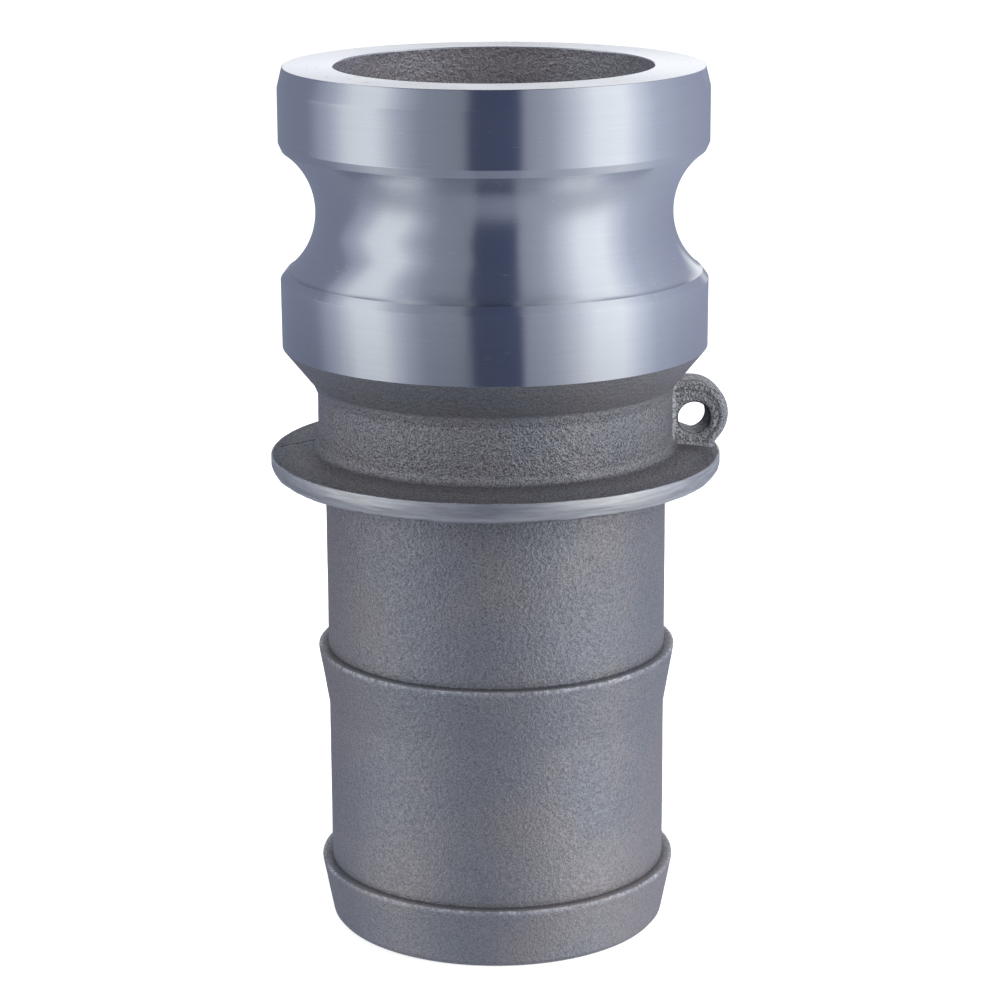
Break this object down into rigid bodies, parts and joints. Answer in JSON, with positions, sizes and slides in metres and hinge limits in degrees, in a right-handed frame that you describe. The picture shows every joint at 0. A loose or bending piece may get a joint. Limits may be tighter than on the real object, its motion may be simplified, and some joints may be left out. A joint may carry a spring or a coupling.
{
  "type": "hose barb adapter",
  "caption": "Cam groove coupling head on a barbed hose shank, cast with a stop flange, a collar and a chain lug.",
  "frame": {"origin": "on the axis, at the end face of the hose shank", "axes": "+Z along the axis from the shank end to the sealing face; +X out through the chain lug; +Y along the lug's hole"},
  "size_m": [0.0686, 0.067, 0.13],
  "materials": {
    "cast_aluminium": "grey sand-cast skin; bright fine-turned head, cam groove and flange rim"
  },
  "bodies": {
    "root": {"adapter_casting": "cast_aluminium"}
  },
  "joints": []
}
